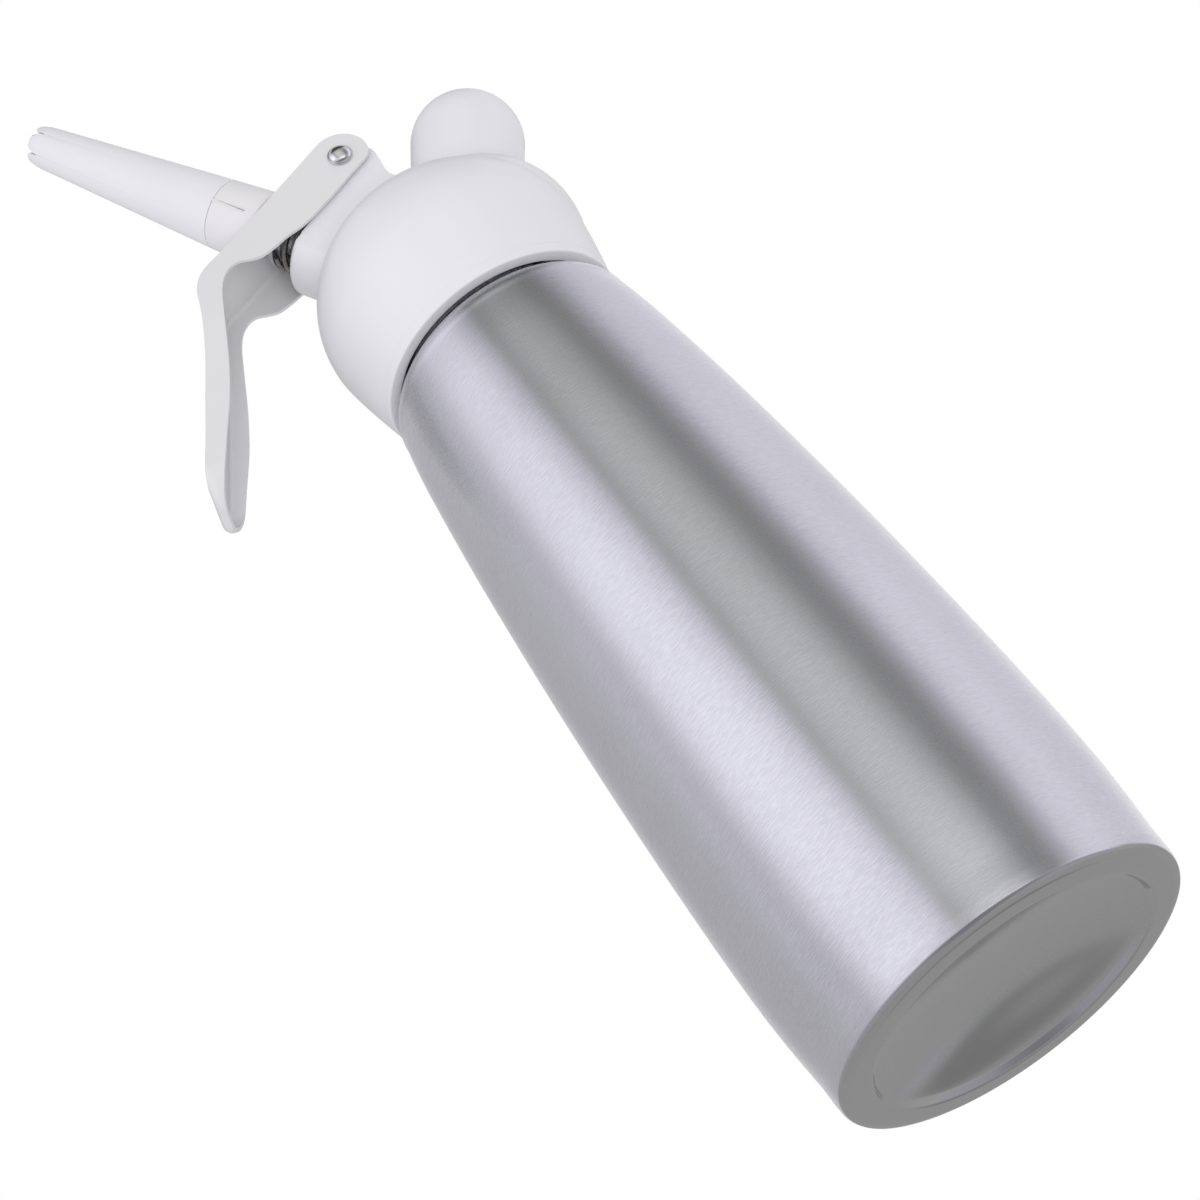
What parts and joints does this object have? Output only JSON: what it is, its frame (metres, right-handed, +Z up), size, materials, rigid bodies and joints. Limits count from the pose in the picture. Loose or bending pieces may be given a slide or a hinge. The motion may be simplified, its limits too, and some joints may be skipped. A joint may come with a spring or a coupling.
{
  "type": "whipped cream dispenser",
  "caption": "Aluminium cream whipper bottle with a screw-on white head, hand lever on a sprung valve, slanted piping nozzle and a domed gas charger holder.",
  "frame": {"origin": "bottom centre of the bounding box, on the surface that the bottle stands on", "axes": "+Z up along the bottle, +X towards the nozzle and the lever, the gas charger holder on the -X side"},
  "size_m": [0.1144, 0.082, 0.3173],
  "materials": {
    "brushed_aluminium": "fine brushing round the bottle, satin",
    "turned_aluminium": "fine turned",
    "white_plastic": "smooth moulded, low gloss",
    "white_coating": "smooth white coating on stamped sheet",
    "bright_steel": "polished",
    "spring_steel": "drawn wire",
    "pale_rubber": "matt silicone"
  },
  "bodies": {
    "bottle": {"bottle": "brushed_aluminium"},
    "gasket_lift": {"head_gasket": "pale_rubber"},
    "head": {"head_shell": "white_plastic", "head_core": "turned_aluminium", "valve_bush": "turned_aluminium", "stem_o_ring": "pale_rubber", "pivot_bush": "bright_steel", "return_spring": "spring_steel", "charging_nipple": "turned_aluminium", "piercing_pin": "bright_steel", "charger_seal": "pale_rubber", "check_sleeve": "pale_rubber"},
    "lever": {"lever": "white_coating", "lever_rivet": "bright_steel"},
    "valve": {"valve_stem": "bright_steel", "valve_seal": "pale_rubber", "seal_nut": "bright_steel", "spring_cap": "bright_steel", "nozzle_adapter": "white_plastic"},
    "nozzle_lift": {"nozzle_gasket": "pale_rubber"},
    "nozzle": {"decorator_nozzle": "white_plastic"},
    "charger_lift": {"gas_charger": "bright_steel"},
    "holder": {"charger_holder": "white_plastic"}
  },
  "joints": [
    {"name": "head_lift", "type": "slide", "parent": "bottle", "child": "gasket_lift", "axis": [0, 0, 1], "range_m": [0, 0.009]},
    {"name": "head_unscrew", "type": "hinge", "parent": "gasket_lift", "child": "head", "pos_m": [-0.01622, 0, 0.2], "axis": [0, 0, 1], "range_deg": [0, 1080]},
    {"name": "lever_press", "type": "hinge", "parent": "head", "child": "lever", "pos_m": [-0.01194, 0, 0.25674], "axis": [0, 1, 0], "range_deg": [0, 11], "stiffness_Nm_per_rad": 1, "springref_deg": -22.92},
    {"name": "valve_press", "type": "slide", "parent": "head", "child": "valve", "axis": [-0.4848, 0, -0.8746], "range_m": [0, 0.00371], "deforming": ["return_spring"]},
    {"name": "nozzle_lift", "type": "slide", "parent": "valve", "child": "nozzle_lift", "axis": [0.4848, 0, 0.8746], "range_m": [0, 0.00825]},
    {"name": "nozzle_unscrew", "type": "hinge", "parent": "nozzle_lift", "child": "nozzle", "pos_m": [0.02741, 0, 0.28752], "axis": [0.4848, 0, 0.8746], "range_deg": [0, 1980]},
    {"name": "charger_lift", "type": "slide", "parent": "head", "child": "charger_lift", "axis": [-0.512, 0, 0.859], "range_m": [0, 0.014]},
    {"name": "holder_unscrew", "type": "hinge", "parent": "charger_lift", "child": "holder", "pos_m": [-0.03926, 0, 0.24745], "axis": [-0.512, 0, 0.859], "range_deg": [0, 2520]}
  ],
  "couplings": [
    {"joint": "head_lift", "follows": "head_unscrew", "m_per_rad": 0.00047746},
    {"joint": "valve_press", "follows": "lever_press", "m_per_rad": 0.0193},
    {"joint": "nozzle_lift", "follows": "nozzle_unscrew", "m_per_rad": 0.00023873},
    {"joint": "charger_lift", "follows": "holder_unscrew", "m_per_rad": 0.00031831}
  ]
}
